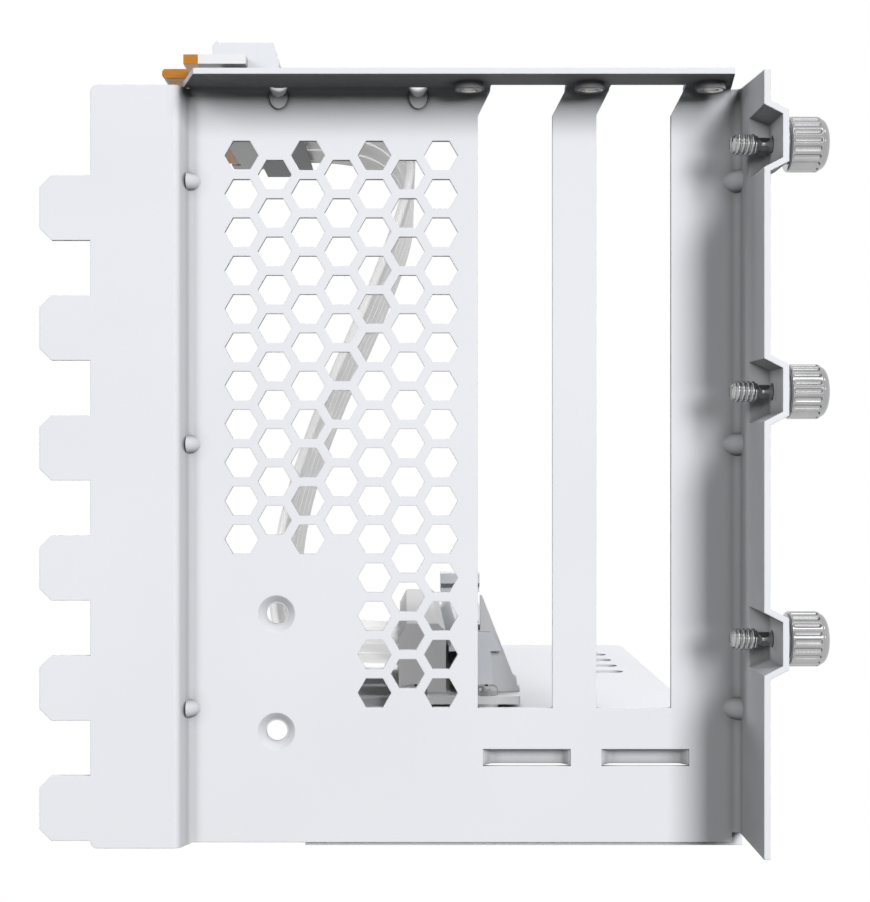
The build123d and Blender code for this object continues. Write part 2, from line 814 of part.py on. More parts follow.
def make_riser_support():
    """The folded support: a triangular gusset in the housing's slit and a foot on the board."""
    left = slot_x - housing_half
    foot_left = slot_x + housing_half + support_foot_gap
    tip_z = board_top + gusset_height
    with BuildPart() as support:
        with BuildSketch(Plane.XZ.offset(-gusset_front)):
            with BuildLine():
                Polyline(
                    (left, board_top),
                    (slot_x + gusset_foot, board_top),
                    (slot_x + gusset_top + gusset_tip_width, tip_z),
                    (slot_x + gusset_top, tip_z),
                    (slot_x + gusset_top, housing_top - gusset_sink),
                    (left, housing_top - gusset_sink),
                    close=True,
                )
            make_face()
        extrude(amount=-support_sheet)
        foot_back = gusset_front + support_sheet + support_foot_length
        block(
            (foot_left, gusset_front, board_top),
            (slot_x + gusset_foot, foot_back, board_top + support_sheet),
        )
        with Locations((*support_screw_place, board_top)):
            Cylinder(shank_radius + shank_clearance, 4 * support_sheet, mode=Mode.SUBTRACT)
    return support.part


def make_support_screw():
    """The screw through the support's foot into the board."""
    return pan_screw(support_screw_place, board_top + support_sheet, support_sheet + board_thickness)


def make_slot_block():
    """The moulded block where the ribbons meet the riser board."""
    with BuildPart() as moulding:
        with BuildSketch(Plane.XZ.offset(-slot_block_front)):
            top = board_top + slot_block_height
            with BuildLine():
                Polyline(
                    (slot_block_left, board_top),
                    (slot_block_right, board_top),
                    (slot_block_right, top - slot_block_slope),
                    (slot_block_right - slot_block_slope, top),
                    (slot_block_left + slot_block_slope, top),
                    (slot_block_left, top - 2 * slot_block_slope),
                    close=True,
                )
            make_face()
        extrude(amount=-(ribbon_span + 2 * slot_block_margin))
    return moulding.part


def make_ribbon(number):
    """One shielded strip of the riser cable, which drifts back on its way down."""
    start = (plug_block_right + plug_block_slope / 2, plug_middle)
    end = (slot_block_left, board_top + slot_ribbon_rise)
    bends = [(ribbon_top_bend, start[1]), *ribbon_route, (ribbon_low_bend, end[1])]
    points = [Vector(*point) for point in (start, *bends, end)]
    radii = []
    for before, corner, after in zip(points, points[1:], points[2:]):
        turn = math.radians((corner - before).get_angle(after - corner))
        shorter = min((corner - before).length, (after - corner).length)
        radii.append(0.45 * shorter / math.tan(turn / 2))
    front = finger_front + (ribbon_width + ribbon_gap) * number
    with BuildPart() as ribbon:
        with BuildSketch(Plane.XZ.offset(-front)):
            with BuildLine():
                centre = FilletPolyline(*points, radius=radii)
            trace(line_width=ribbon_thickness)
        extrude(amount=-(ribbon_width + ribbon_drift))
        with BuildSketch(Plane.YZ.offset(start[0] - 2 * ribbon_width)):
            with BuildLine():
                Polyline(
                    (front, plug_middle + ribbon_width),
                    (front, ribbon_drift_top),
                    (front + ribbon_drift, ribbon_drift_low),
                    (front + ribbon_drift, board_bottom - ribbon_width),
                    (front + ribbon_drift + ribbon_width, board_bottom - ribbon_width),
                    (front + ribbon_drift + ribbon_width, ribbon_drift_low),
                    (front + ribbon_width, ribbon_drift_top),
                    (front + ribbon_width, plug_middle + ribbon_width),
                    close=True,
                )
            make_face()
        extrude(amount=panel_width, mode=Mode.INTERSECT)
    if number == 0:
        print("ribbon length", round(centre.length, 1), "radii", [round(radius, 1) for radius in radii])
    return ribbon.part


def make_plug_board():
    """The board with the card edge that plugs in: front tab, fingers with a key gap and the far hook."""
    key_front = finger_front + plug_key_from_front
    with BuildPart() as board:
        hook_front = finger_back + plug_notch
        outlines = [
            (plug_tab_x, plug_y, finger_back + plug_tail),
            (finger_tip, finger_front, key_front),
            (finger_tip, key_front + key_width, finger_back),
            (plug_tab_x - plug_hook_reach, hook_front, hook_front + plug_hook_length),
        ]
        for x, start, end in outlines:
            block((x, start, plug_bottom), (plug_board_right, end, plug_bottom + plug_thickness))
        tips = board.edges().filter_by(Axis.Y).group_by(Axis.X)[0]
        chamfer(tips, length=plug_thickness / 4)
    return board.part


def make_plug_fingers(side):
    """The gold contacts on one face of the plug board. Side is -1 below or 1 above."""
    seat = plug_middle + side * (plug_thickness / 2 + plug_finger_thickness / 2)
    key_back = finger_front + plug_key_from_front + key_width
    inset = (plug_key_from_front - contacts_before_key * contact_pitch) / 2
    x = finger_tip + plug_thickness / 2 + plug_finger_length / 2
    rows = ((finger_front + inset, contacts_before_key), (key_back + inset, plug_fingers_after_key))
    places = [(x, start + contact_pitch * (n + 0.5), seat) for start, count in rows for n in range(count)]
    with BuildPart() as fingers:
        with Locations(*places):
            Box(plug_finger_length, contact_pitch - plug_finger_gap, plug_finger_thickness)
    return fingers.part


def make_plug_block():
    """The moulded block round the plug board's inner edge, with a sloped cable side and a rib."""
    low = plug_bottom - plug_block_under
    high = plug_bottom + plug_thickness + plug_block_over
    with BuildPart() as moulding:
        with BuildSketch(Plane.XZ.offset(-plug_block_front)):
            with BuildLine():
                Polyline(
                    (plug_block_x, low),
                    (plug_block_right + plug_block_slope, low),
                    (plug_block_right, high),
                    (plug_block_x, high),
                    close=True,
                )
            make_face()
        extrude(amount=-(plug_block_back - plug_block_front))
        with BuildSketch(Plane.XZ.offset(-plug_block_front)):
            rib_low = plug_bottom + plug_thickness
            with BuildLine():
                Polyline(
                    (plug_block_x, rib_low),
                    (plug_block_x, rib_low + plug_rib_rise - plug_rib_width / 2),
                    (plug_block_x - plug_rib_width / 2, rib_low + plug_rib_rise),
                    (plug_block_x - plug_rib_width, rib_low + plug_rib_rise - plug_rib_width / 2),
                    (plug_block_x - plug_rib_width, rib_low),
                    close=True,
                )
            make_face()
        extrude(amount=-(plug_block_back - plug_block_front))
        block(
            (plug_tab_x, plug_y, plug_bottom),
            (plug_board_right, finger_back + plug_tail, plug_bottom + plug_thickness),
            Mode.SUBTRACT,
        )
        # strips enter the sloped side
        block(
            (plug_block_right + plug_block_slope / 2, plug_block_front, plug_middle - ribbon_thickness / 2),
            (plug_block_right + 2 * plug_block_slope, plug_block_back, plug_middle + ribbon_thickness / 2),
            Mode.SUBTRACT,
        )
    return moulding.part


os.makedirs("parts", exist_ok=True)
pieces = {
    "main_bracket": make_main_bracket(),
    "riser_shelf": make_riser_shelf(),
    "riser_board": make_riser_board(),
    "board_spacers": make_board_spacers(),
    "board_screws": make_board_screws(),
    "slot_housing": make_slot_housing(),
    "contact_row_left": contact_row(-1),
    "contact_row_right": contact_row(1),
    "slot_latch": make_slot_latch(),
    "riser_support": make_riser_support(),
    "support_screw": make_support_screw(),
    "slot_block": make_slot_block(),
    "plug_board": make_plug_board(),
    "plug_fingers_lower": make_plug_fingers(-1),
    "plug_fingers_upper": make_plug_fingers(1),
    "plug_block": make_plug_block(),
}
for name, height in zip(("thumbscrew_top", "thumbscrew_middle", "thumbscrew_bottom"), screw_heights):
    pieces[name] = make_thumbscrew(height)
for number in range(ribbon_count):
    pieces[f"ribbon_{number + 1}"] = make_ribbon(number)
for name, piece in pieces.items():
    piece.label = name
    export_step(piece, f"parts/{name}.step")
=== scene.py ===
import math

import bpy
import numpy as np
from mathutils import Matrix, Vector


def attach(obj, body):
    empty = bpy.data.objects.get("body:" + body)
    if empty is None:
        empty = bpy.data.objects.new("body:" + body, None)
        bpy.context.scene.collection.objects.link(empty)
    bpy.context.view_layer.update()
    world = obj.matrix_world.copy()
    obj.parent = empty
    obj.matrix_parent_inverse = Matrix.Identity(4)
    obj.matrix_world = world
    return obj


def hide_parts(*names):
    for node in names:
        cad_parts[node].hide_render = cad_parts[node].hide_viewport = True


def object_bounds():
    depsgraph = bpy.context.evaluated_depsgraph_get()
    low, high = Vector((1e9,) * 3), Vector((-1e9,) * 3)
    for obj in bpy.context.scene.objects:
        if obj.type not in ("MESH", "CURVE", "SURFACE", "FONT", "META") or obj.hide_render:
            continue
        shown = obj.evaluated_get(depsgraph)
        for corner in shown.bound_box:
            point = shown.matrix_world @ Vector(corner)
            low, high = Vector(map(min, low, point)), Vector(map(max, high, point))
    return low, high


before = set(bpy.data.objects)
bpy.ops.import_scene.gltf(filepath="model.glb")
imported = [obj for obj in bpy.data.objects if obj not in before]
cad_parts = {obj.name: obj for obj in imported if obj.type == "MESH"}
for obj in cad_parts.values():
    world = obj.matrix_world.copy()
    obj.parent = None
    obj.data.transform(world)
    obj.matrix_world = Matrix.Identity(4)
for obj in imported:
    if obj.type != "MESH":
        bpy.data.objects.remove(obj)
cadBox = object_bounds()
scene = bpy.context.scene
mm = 0.001

# what the finishes share: where a noise value meets the dark and the light tone, and the noises' octaves
toneStops = {"dark": 0.3, "light": 0.7}
octaves = {"fine": 2, "cloudy": 3}
bevelSamples = 6


# short names for the material nodes that every finish uses
def newMaterial(name):
    mat = bpy.data.materials.new(name)
    mat.use_nodes = True
    tree = mat.node_tree
    return mat, tree.nodes, tree.links, tree.nodes["Principled BSDF"]


def objectCoords(nodes, links, scale=(1, 1, 1)):
    coords = nodes.new("ShaderNodeTexCoord")
    mapping = nodes.new("ShaderNodeMapping")
    mapping.inputs["Scale"].default_value = scale
    links.new(coords.outputs["Object"], mapping.inputs["Vector"])
    return mapping.outputs["Vector"]


def noise(nodes, links, vector, scale, detail):
    tex = nodes.new("ShaderNodeTexNoise")
    tex.inputs["Scale"].default_value = scale
    tex.inputs["Detail"].default_value = detail
    links.new(vector, tex.inputs["Vector"])
    return tex.outputs["Fac"]


def twoTones(nodes, links, factor, settings):
    node = nodes.new("ShaderNodeValToRGB")
    for element, tone in zip(node.color_ramp.elements, ("dark", "light")):
        element.position = toneStops[tone]
        element.color = (*settings[tone], 1)
    links.new(factor, node.inputs["Fac"])
    return node.outputs["Color"]


def levels(nodes, links, value, low, high):
    node = nodes.new("ShaderNodeMapRange")
    node.inputs["To Min"].default_value = low
    node.inputs["To Max"].default_value = high
    links.new(value, node.inputs["Value"])
    return node.outputs["Result"]


def bump(nodes, links, height, strength, distance, under):
    node = nodes.new("ShaderNodeBump")
    node.inputs["Strength"].default_value = strength
    node.inputs["Distance"].default_value = distance
    links.new(height, node.inputs["Height"])
    links.new(under, node.inputs["Normal"])
    return node.outputs["Normal"]


def softEdges(nodes, radius):
    node = nodes.new("ShaderNodeBevel")
    node.samples = bevelSamples
    node.inputs["Radius"].default_value = radius
    return node.outputs["Normal"]


# one math node on a value and a number or a second value
def calculate(nodes, links, value, operation, other):
    node = nodes.new("ShaderNodeMath")
    node.operation = operation
    links.new(value, node.inputs[0])
    if isinstance(other, (int, float)):
        node.inputs[1].default_value = other
    else:
        links.new(other, node.inputs[1])
    return node.outputs[0]


def blendColours(nodes, links, factor, first, second):
    node = nodes.new("ShaderNodeMix")
    node.data_type = "RGBA"
    links.new(factor, node.inputs["Factor"])
    for socket, colour in ((node.inputs["A"], first), (node.inputs["B"], second)):
        if isinstance(colour, tuple):
            socket.default_value = (*colour, 1)
        else:
            links.new(colour, socket)
    return node.outputs["Result"]


# the share of its colour that a pale surface sends on to its neighbours, low so that corners stay dark
paleBounce = 0.05


def quietBounce(nodes, links, colour):
    paths = nodes.new("ShaderNodeLightPath")
    weak = nodes.new("ShaderNodeMix")
    weak.data_type = "RGBA"
    weak.blend_type = "MULTIPLY"
    weak.inputs["B"].default_value = (paleBounce, paleBounce, paleBounce, 1)
    links.new(paths.outputs["Is Diffuse Ray"], weak.inputs["Factor"])
    links.new(colour, weak.inputs["A"])
    return weak.outputs["Result"]


# painted shade: how much an inner corner darkens, how far away its other side counts, and how closed it is
# at its darkest
corners = {"reach": 2.6 * mm, "darkest": 0.35, "closed": 0.5, "samples": 12}


# the colour is darkened where ambient occlusion finds a near surface: painted shade in inner corners
def paintedCornerShade(nodes, links, colour, settings):
    occlusion = nodes.new("ShaderNodeAmbientOcclusion")
    occlusion.samples = settings["samples"]
    occlusion.only_local = True
    occlusion.inputs["Distance"].default_value = settings["reach"]
    shade = levels(nodes, links, occlusion.outputs["AO"], settings["darkest"], 1)
    shade.node.inputs["From Min"].default_value = settings["closed"]
    weaker = nodes.new("ShaderNodeVectorMath")
    weaker.operation = "SCALE"
    links.new(colour, weaker.inputs[0])
    links.new(shade, weaker.inputs["Scale"])
    return weaker.outputs[0]


# powder coat: fine orange peel over a faint change of tone, painted shade in its inner corners, and soft
# sheet edges
coat = {
    "light": (0.80, 0.815, 0.85), "dark": (0.775, 0.79, 0.825), "tone": 28,
    "roughness": 0.5, "specular": 0.04,
    "peel": 2600, "peelDepth": 0.06 * mm, "peelStrength": 0.18, "edge": 0.25 * mm,
}
# turned rings of bare nickel in the three collars of the top flange: places and sizes in mm
collars = {
    "across": [56.64, 76.96, 97.28], "depth": -1.1, "radius": 2.15, "above": 61.0,
    "colour": (0.72, 0.71, 0.69), "roughness": 0.18,
}


# 1 inside a collar's hole and rim, 0 elsewhere: the distance to the nearest collar's axis against its radius
def collarMask(nodes, links, place, settings):
    split = nodes.new("ShaderNodeSeparateXYZ")
    links.new(place, split.inputs[0])
    nearest = None
    for across in settings["across"]:
        side = calculate(nodes, links, split.outputs["X"], "SUBTRACT", across * mm)
        deep = calculate(nodes, links, split.outputs["Y"], "SUBTRACT", settings["depth"] * mm)
        sideSquared = calculate(nodes, links, side, "POWER", 2)
        deepSquared = calculate(nodes, links, deep, "POWER", 2)
        far = calculate(nodes, links, sideSquared, "ADD", deepSquared)
        nearest = far if nearest is None else calculate(nodes, links, nearest, "MINIMUM", far)
    inside = calculate(nodes, links, nearest, "LESS_THAN", (settings["radius"] * mm) ** 2)
    high = calculate(nodes, links, split.outputs["Z"], "GREATER_THAN", settings["above"] * mm)
    return calculate(nodes, links, inside, "MULTIPLY", high)


def powderCoat(name, settings, bare=None):
    mat, nodes, links, shader = newMaterial(name)
    place = objectCoords(nodes, links)
    tone = noise(nodes, links, place, settings["tone"], octaves["fine"])
    colour = paintedCornerShade(nodes, links, twoTones(nodes, links, tone, settings), corners)
    shader.inputs["Roughness"].default_value = settings["roughness"]
    if bare is not None:
        ring = collarMask(nodes, links, place, bare)
        colour = blendColours(nodes, links, ring, colour, bare["colour"])
        links.new(ring, shader.inputs["Metallic"])
        rough = levels(nodes, links, ring, settings["roughness"], bare["roughness"])
        links.new(rough, shader.inputs["Roughness"])
    links.new(quietBounce(nodes, links, colour), shader.inputs["Base Color"])
    peel = noise(nodes, links, place, settings["peel"], octaves["fine"])
    edge = softEdges(nodes, settings["edge"])
    skin = bump(nodes, links, peel, settings["peelStrength"], settings["peelDepth"], edge)
    links.new(skin, shader.inputs["Normal"])
    shader.inputs["Specular IOR Level"].default_value = settings["specular"]
    return mat


# plated screws and spacers: smooth metal with faint lathe marks across the screw's axis
# painted shade: the nickel colour is darker than real nickel, so that its reflection of the white background
# comes out grey
nickel = {"light": (0.44, 0.44, 0.445), "dark": (0.38, 0.38, 0.385), "roughness": 0.11, "turning": 5200}
zinc = {"light": (0.68, 0.67, 0.64), "dark": (0.60, 0.59, 0.56), "roughness": 0.26, "turning": 3000}
plate = {
    "stretch": (1, 0.05, 0.05), "tone": 220, "smoothest": 0.8, "roughest": 1.5,
    "markStrength": 0.12, "markDepth": 0.03 * mm, "edge": 0.1 * mm,
}


def turnedPlate(name, settings):
    mat, nodes, links, shader = newMaterial(name)
    stretched = objectCoords(nodes, links, plate["stretch"])
    marks = noise(nodes, links, stretched, settings["turning"], octaves["fine"])
    tone = noise(nodes, links, objectCoords(nodes, links), plate["tone"], octaves["fine"])
    links.new(twoTones(nodes, links, tone, settings), shader.inputs["Base Color"])
    shader.inputs["Metallic"].default_value = 1.0
    smoothest, roughest = (settings["roughness"] * plate[end] for end in ("smoothest", "roughest"))
    links.new(levels(nodes, links, marks, smoothest, roughest), shader.inputs["Roughness"])
    edge = softEdges(nodes, plate["edge"])
    grooves = bump(nodes, links, marks, plate["markStrength"], plate["markDepth"], edge)
    links.new(grooves, shader.inputs["Normal"])
    return mat


# moulded plastic: a faint change of tone and a fine satin grain
slotPlastic = {"light": (0.77, 0.80, 0.85), "dark": (0.74, 0.77, 0.82), "roughness": 0.4, "grain": 1800}
# painted shade: the slot block's grey is darker than the other mouldings, standing for the shade it sits in
# behind the panel
slotBlockShadedPlastic = {
    "light": (0.64, 0.64, 0.65), "dark": (0.60, 0.60, 0.61), "roughness": 0.45, "grain": 1400,
}
plugBlockPlastic = {
    "light": (0.79, 0.81, 0.85), "dark": (0.76, 0.78, 0.82), "roughness": 0.5, "grain": 1400,
}
jacket = {
    "light": (0.86, 0.86, 0.86), "dark": (0.78, 0.78, 0.78), "roughness": 0.34, "grain": 900,
    "metallic": 0.15,
}
moulding = {"tone": 60, "specular": 0.25, "grainStrength": 0.1, "grainDepth": 0.05 * mm, "edge": 0.15 * mm}


def plastic(name, settings):
    mat, nodes, links, shader = newMaterial(name)
    place = objectCoords(nodes, links)
    tone = noise(nodes, links, place, moulding["tone"], octaves["cloudy"])
    colour = twoTones(nodes, links, tone, settings)
    links.new(quietBounce(nodes, links, colour), shader.inputs["Base Color"])
    grain = noise(nodes, links, place, settings["grain"], octaves["fine"])
    edge = softEdges(nodes, moulding["edge"])
    satin = bump(nodes, links, grain, moulding["grainStrength"], moulding["grainDepth"], edge)
    links.new(satin, shader.inputs["Normal"])
    shader.inputs["Roughness"].default_value = settings["roughness"]
    shader.inputs["Metallic"].default_value = settings.get("metallic", 0)
    shader.inputs["Specular IOR Level"].default_value = moulding["specular"]
    return mat


# board mask over the glass weave, and the bare gold at the plug board's ends: nearer than two limits, in mm
solderMask = {
    "light": (0.84, 0.85, 0.87), "dark": (0.80, 0.81, 0.83), "tone": 90, "roughness": 0.35,
    "weave": 2400, "weaveStrength": 0.08, "weaveDepth": 0.04 * mm, "edge": 0.1 * mm,
}
gold = {
    "light": (0.56, 0.23, 0.02), "dark": (0.42, 0.16, 0.012), "tone": 400, "metallic": 0.5,
    "roughness": 0.35, "smoothest": 0.8, "roughest": 1.3,
}
goldEnds = {"limits": [{"across": 10.4, "back": 9.5}, {"across": 7.95, "back": 14.6}], "metallic": 0.4}


# 1 where a point is inside any of the limits, 0 elsewhere
def goldEndMask(nodes, links, place, limits):
    split = nodes.new("ShaderNodeSeparateXYZ")
    links.new(place, split.inputs[0])
    plated = None
    for limit in limits:
        near = calculate(nodes, links, split.outputs["X"], "LESS_THAN", limit["across"] * mm)
        front = calculate(nodes, links, split.outputs["Y"], "LESS_THAN", limit["back"] * mm)
        both = calculate(nodes, links, near, "MULTIPLY", front)
        plated = both if plated is None else calculate(nodes, links, plated, "MAXIMUM", both)
    return plated


def boardMask(name, settings, ends=None):
    mat, nodes, links, shader = newMaterial(name)
    place = objectCoords(nodes, links)
    tone = noise(nodes, links, place, settings["tone"], octaves["cloudy"])
    colour = twoTones(nodes, links, tone, settings)
    shader.inputs["Roughness"].default_value = settings["roughness"]
    if ends is not None:
        plated = goldEndMask(nodes, links, place, ends["limits"])
        goldTone = noise(nodes, links, place, gold["tone"], octaves["cloudy"])
        colour = blendColours(nodes, links, plated, colour, twoTones(nodes, links, goldTone, gold))
        links.new(levels(nodes, links, plated, 0, ends["metallic"]), shader.inputs["Metallic"])
    links.new(quietBounce(nodes, links, colour), shader.inputs["Base Color"])
    weave = noise(nodes, links, place, settings["weave"], octaves["fine"])
    edge = softEdges(nodes, settings["edge"])
    cloth = bump(nodes, links, weave, settings["weaveStrength"], settings["weaveDepth"], edge)
    links.new(cloth, shader.inputs["Normal"])
    return mat


def goldPlate(name, settings):
    mat, nodes, links, shader = newMaterial(name)
    tone = noise(nodes, links, objectCoords(nodes, links), settings["tone"], octaves["cloudy"])
    links.new(twoTones(nodes, links, tone, settings), shader.inputs["Base Color"])
    shader.inputs["Metallic"].default_value = settings["metallic"]
    smoothest, roughest = (settings["roughness"] * settings[end] for end in ("smoothest", "roughest"))
    links.new(levels(nodes, links, tone, smoothest, roughest), shader.inputs["Roughness"])
    return mat


print("materials")
materials = {
    "coat": powderCoat("powderCoat", coat),
    "panelCoat": powderCoat("panelPowderCoat", coat, collars),
    "nickel": turnedPlate("brightNickel", nickel),
    "zinc": turnedPlate("zincPlate", zinc),
    "board": boardMask("boardMask", solderMask),
    "plugBoard": boardMask("plugBoardMask", solderMask, goldEnds),
    "slot": plastic("slotMoulding", slotPlastic),
    "slotBlock": plastic("slotBlockShadedMoulding", slotBlockShadedPlastic),
    "plugBlock": plastic("plugBlockMoulding", plugBlockPlastic),
    "ribbon": plastic("ribbonJacket", jacket),
    "gold": goldPlate("goldPlate", gold),
}
finishes = {
    "panelCoat": ["main_bracket"],
    "coat": ["riser_shelf", "riser_support"],
    "nickel": ["thumbscrew_top", "thumbscrew_middle", "thumbscrew_bottom", "board_screws", "support_screw"],
    "zinc": ["board_spacers"],
    "board": ["riser_board"],
    "plugBoard": ["plug_board"],
    "slot": ["slot_housing", "slot_latch"],
    "slotBlock": ["slot_block"],
    "plugBlock": ["plug_block"],
    "ribbon": ["ribbon_1", "ribbon_2", "ribbon_3", "ribbon_4", "ribbon_5"],
    "gold": ["contact_row_left", "contact_row_right", "plug_fingers_lower", "plug_fingers_upper"],
}
for finish, names in finishes.items():
    for name in names:
        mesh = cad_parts[name].data
        mesh.materials.clear()
        mesh.materials.append(materials[finish])


# A grid of points, rows by columns, becomes a closed mesh: the columns close into rings, and a fan to the
# middle of the first and the last row closes each end.
def ringMesh(name, points, material):
    rows, around = points.shape[:2]
    middles = points[[0, -1]].mean(axis=1)
    places = np.concatenate([points.reshape(-1, 3), middles])
    row, column = np.meshgrid(np.arange(rows - 1), np.arange(around), indexing="ij")
    after = (column + 1) % around
    here, above = row * around, (row + 1) * around
    quads = np.stack([here + column, here + after, above + after, above + column], -1).reshape(-1, 4)
    step = np.arange(around)
    first, last = rows * around, rows * around + 1
    base = (rows - 1) * around
    startFan = np.stack([np.full(around, first), (step + 1) % around, step], -1)
    endFan = np.stack([np.full(around, last), base + step, base + (step + 1) % around], -1)
    mesh = bpy.data.meshes.new(name)
    mesh.from_pydata(places.tolist(), [], quads.tolist() + startFan.tolist() + endFan.tolist())
    mesh.polygons.foreach_set("use_smooth", np.full(len(mesh.polygons), True))
    mesh.materials.append(material)
    mesh.update()
    piece = bpy.data.objects.new(name, mesh)
    scene.collection.objects.link(piece)
    return piece


# Captive thumbscrews, in mm. A station of the profile is its place along x, its radius, and how many rows
# lead up to it from the one before.
thumbscrew = {
    "depth": -7.6,
    "heights": {"top": 53.0, "middle": 12.36, "bottom": -28.28},
    "profile": [
        (99.3, 1.0, 1), (99.7, 1.45, 3), (103.65, 1.45, 66), (103.85, 1.15, 3), (107.25, 1.15, 6),
        (107.5, 1.4, 3), (107.5, 3.05, 6), (107.7, 3.3, 4), (108.5, 3.3, 4), (108.5, 4.15, 5),
        (108.58, 4.4, 3), (108.75, 4.5, 3), (113.55, 4.5, 60), (113.72, 4.42, 3), (113.8, 4.2, 3),
    ],
    "grip": 4.5,
    "dome": {"start": 113.8, "end": 115.1, "radius": 4.2, "flat": 2.1, "rows": 24},
    "recess": {
        "length": 4.6, "width": 1.1, "depth": 1.2, "slope": 0.22, "rows": 44, "middle": 0.03, "within": 0.4,
    },
    "flutes": {"count": 20, "radius": 0.5, "lift": 0.18, "from": 109.25, "to": 113.0, "outside": 4.4},
    "thread": {"from": 99.8, "to": 103.5, "height": 0.3, "pitch": 0.79, "fade": 0.3, "steep": 1.6},
    "around": 360,
}


# the stations joined by straight lines, a dome that is a quarter of an ellipse, and its flat end
def screwProfile(settings):
    stations, dome, recess = settings["profile"], settings["dome"], settings["recess"]
    along, radius = [stations[0][0]], [stations[0][1]]
    for (x0, r0, _), (x1, r1, rows) in zip(stations, stations[1:]):
        share = np.arange(1, rows + 1) / rows
        along.extend(x0 + (x1 - x0) * share)
        radius.extend(r0 + (r1 - r0) * share)
    bend = np.linspace(0, math.pi / 2, dome["rows"] + 1)[1:]
    along.extend(dome["start"] + (dome["end"] - dome["start"]) * np.sin(bend))
    radius.extend(dome["flat"] + (dome["radius"] - dome["flat"]) * np.cos(bend))
    along.extend(np.full(recess["rows"], dome["end"]))
    radius.extend(np.linspace(dome["flat"], recess["middle"], recess["rows"] + 1)[1:])
    return np.array(along)[:, None], np.array(radius)[:, None]


# A ball end mill's groove: its depth is the height of the mill's circle at the distance to the flute's
# middle line, less the mill's lift, and it cuts only outside one radius.
def fluteDepth(along, radius, turn, settings):
    flutes = settings["flutes"]
    pitch = 2 * math.pi / flutes["count"]
    aside = ((turn + pitch / 2) % pitch - pitch / 2) * settings["grip"]
    middle, half = (flutes["from"] + flutes["to"]) / 2, (flutes["to"] - flutes["from"]) / 2
    beyond = np.maximum(np.abs(along - middle) - half, 0)
    away = np.minimum(aside ** 2 + beyond ** 2, flutes["radius"] ** 2)
    deep = np.maximum(np.sqrt(flutes["radius"] ** 2 - away) - flutes["lift"], 0)
    return deep * (radius > flutes["outside"])


# a cut-off triangle wave of the place along the axis less the turn times the pitch, faded at both ends
def threadHeight(along, turn, settings):
    thread = settings["thread"]
    phase = (along / thread["pitch"] - turn / (2 * math.pi)) % 1
    fadeIn = np.clip((along - thread["from"]) / thread["fade"], 0, 1)
    fadeOut = np.clip((thread["to"] - along) / thread["fade"], 0, 1)
    wave = np.clip(thread["steep"] - 2 * thread["steep"] * np.abs(phase - 0.5), 0, 1)
    return thread["height"] * wave * (fadeIn * fadeOut)


# The cross in the dome: a point inside either of two bars sinks by its distance to the bar's edge over the
# slope, up to the recess's depth.
def crossDepth(across, up, along, settings):
    recess = settings["recess"]
    long, wide = recess["length"] / 2, recess["width"] / 2
    bars = [np.minimum(long - np.abs(a), wide - np.abs(b)) for a, b in ((across, up), (up, across))]
    onDome = along > settings["dome"]["start"] + recess["within"]
    return recess["depth"] * (np.clip(np.maximum(*bars) / recess["slope"], 0, 1) * onDome)


# The profile turned about the screw's axis, less the flutes and with the thread. The columns run so that the
# faces point outward.
def thumbscrewPoints(settings, height):
    along, radius = screwProfile(settings)
    turn = np.arange(settings["around"])[None, :] * 2 * math.pi / settings["around"]
    radius = radius - fluteDepth(along, radius, turn, settings) + threadHeight(along, turn, settings)
    across, up = radius * np.sin(turn), radius * np.cos(turn)
    along = along - crossDepth(across, up, along, settings)
    points = np.stack([along + 0 * turn, settings["depth"] + across, height + up], -1)
    return points[:, ::-1] * mm


print("thumbscrews")
for place, height in thumbscrew["heights"].items():
    piece = ringMesh("fluted_screw_" + place, thumbscrewPoints(thumbscrew, height), materials["nickel"])
    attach(piece, "screw_" + place)
    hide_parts("thumbscrew_" + place)


# riser cable, in mm: the source's route, side on, is the control points of one smooth spline for each strip
ribbon = {
    "count": 5, "width": 15.4, "thickness": 1.6, "gap": 2.0, "front": 13.6,
    "drift": 43.0, "driftTop": 58.0, "driftLow": -36.0,
    "route": [
        (24, 69.7), (39.5, 69.7), (48.5, 58), (43.5, 40.5), (24.5, 1), (17.5, -30), (24.5, -41.2),
        (44.5, -41.2),
    ],
    "cores": 8, "valley": 0.5, "rounding": 0.7, "perCore": 9, "order": 3, "steps": 22,
    "length": 0.160,  # m
}


# a strip's control points: its place across the cable, plus a drift that grows as the route comes down
def ribbonControl(settings, number):
    middle = settings["front"] + settings["width"] / 2 + number * (settings["width"] + settings["gap"])
    points = []
    for x, z in settings["route"]:
        fallen = (settings["driftTop"] - z) / (settings["driftTop"] - settings["driftLow"])
        points.append((x, middle + settings["drift"] * min(max(fallen, 0), 1), z))
    return np.array(points) * mm


# the spline's own points, read from a curve with no bevel
def splinePoints(name, control, settings):
    data = bpy.data.curves.new(name, "CURVE")
    data.dimensions = "3D"
    spline = data.splines.new("NURBS")
    spline.points.add(len(control) - 1)
    weighted = np.concatenate([control, np.ones((len(control), 1))], 1)
    spline.points.foreach_set("co", weighted.ravel())
    spline.order_u = settings["order"]
    spline.use_endpoint_u = True
    data.resolution_u = settings["steps"]
    guide = bpy.data.objects.new(name, data)
    scene.collection.objects.link(guide)
    evaluated = guide.evaluated_get(bpy.context.evaluated_depsgraph_get())
    mesh = bpy.data.meshes.new_from_object(evaluated)
    line = np.empty(len(mesh.vertices) * 3)
    mesh.vertices.foreach_get("co", line)
    bpy.data.objects.remove(guide)
    bpy.data.curves.remove(data)
    bpy.data.meshes.remove(mesh)
    return line.reshape(-1, 3)


